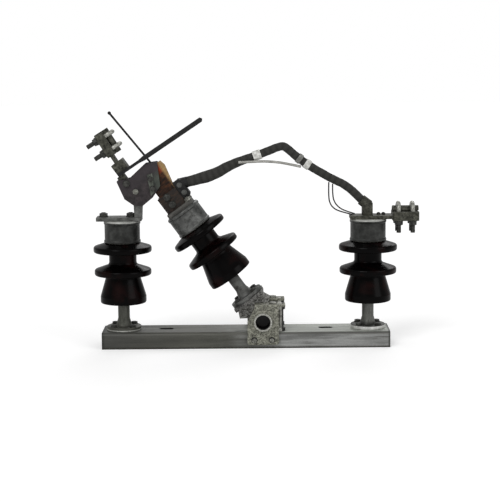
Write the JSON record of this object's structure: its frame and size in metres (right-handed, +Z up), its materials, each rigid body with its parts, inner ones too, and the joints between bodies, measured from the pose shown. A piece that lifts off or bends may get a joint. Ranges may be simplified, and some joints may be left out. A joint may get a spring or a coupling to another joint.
{
  "type": "air break switch pole with tilting post insulator",
  "caption": "One pole of an air break switch: a tilting porcelain post swings a copper contact and horn out of a fixed jaw, on a steel channel.",
  "frame": {"origin": "middle of the base channel, in the plane of its lower edges, where it seats on the crossarm", "axes": "+X along the channel towards the lead's end post, +Y away from the viewer of the picture, +Z up"},
  "size_m": [0.7557, 0.134, 0.5412],
  "materials": {
    "galvanised_steel": "satin",
    "brown_porcelain": "gloss",
    "cast_bracket": "matte",
    "dark_steel": "matte",
    "cast_terminal": "matte",
    "copper": "satin",
    "blackened_steel": "matte",
    "wrapped_braid": "matte",
    "bare_braid": "satin"
  },
  "bodies": {
    "base": {"base_channel": "galvanised_steel", "left_pin": "galvanised_steel", "left_porcelain": "brown_porcelain", "left_cap": "galvanised_steel", "right_pin": "galvanised_steel", "right_porcelain": "brown_porcelain", "right_cap": "galvanised_steel", "bearing_bracket_front": "cast_bracket", "bearing_bracket_back": "cast_bracket", "stop_studs": "galvanised_steel", "contact_bracket": "galvanised_steel", "contact_cheek_front": "dark_steel", "contact_cheek_back": "dark_steel", "jaw_straps": "galvanised_steel", "left_terminal": "cast_terminal", "left_keeper": "cast_terminal", "left_u_bolts": "galvanised_steel", "fixed_horn": "blackened_steel", "right_terminal": "cast_terminal", "right_keeper": "cast_terminal", "right_u_bolts": "galvanised_steel", "lead_lug": "dark_steel", "flexible_lead": "wrapped_braid", "lead_strand": "bare_braid", "thin_wire_front": "wrapped_braid", "thin_wire_back": "wrapped_braid"},
    "post": {"rocker_shaft": "galvanised_steel", "rocker_arm_front": "dark_steel", "rocker_arm_back": "dark_steel", "rocker_saddle": "galvanised_steel", "post_pin": "galvanised_steel", "post_porcelain": "brown_porcelain", "post_cap": "galvanised_steel", "moving_contact_foot": "dark_steel", "contact_leaves": "copper", "lead_block": "dark_steel", "moving_horn": "blackened_steel"}
  },
  "joints": [
    {"name": "post_tilt", "type": "hinge", "parent": "base", "child": "post", "pos_m": [0.039, 0, 0.0625], "axis": [0, 1, 0], "range_deg": [0, 42], "deforming": ["flexible_lead", "lead_strand"]}
  ]
}
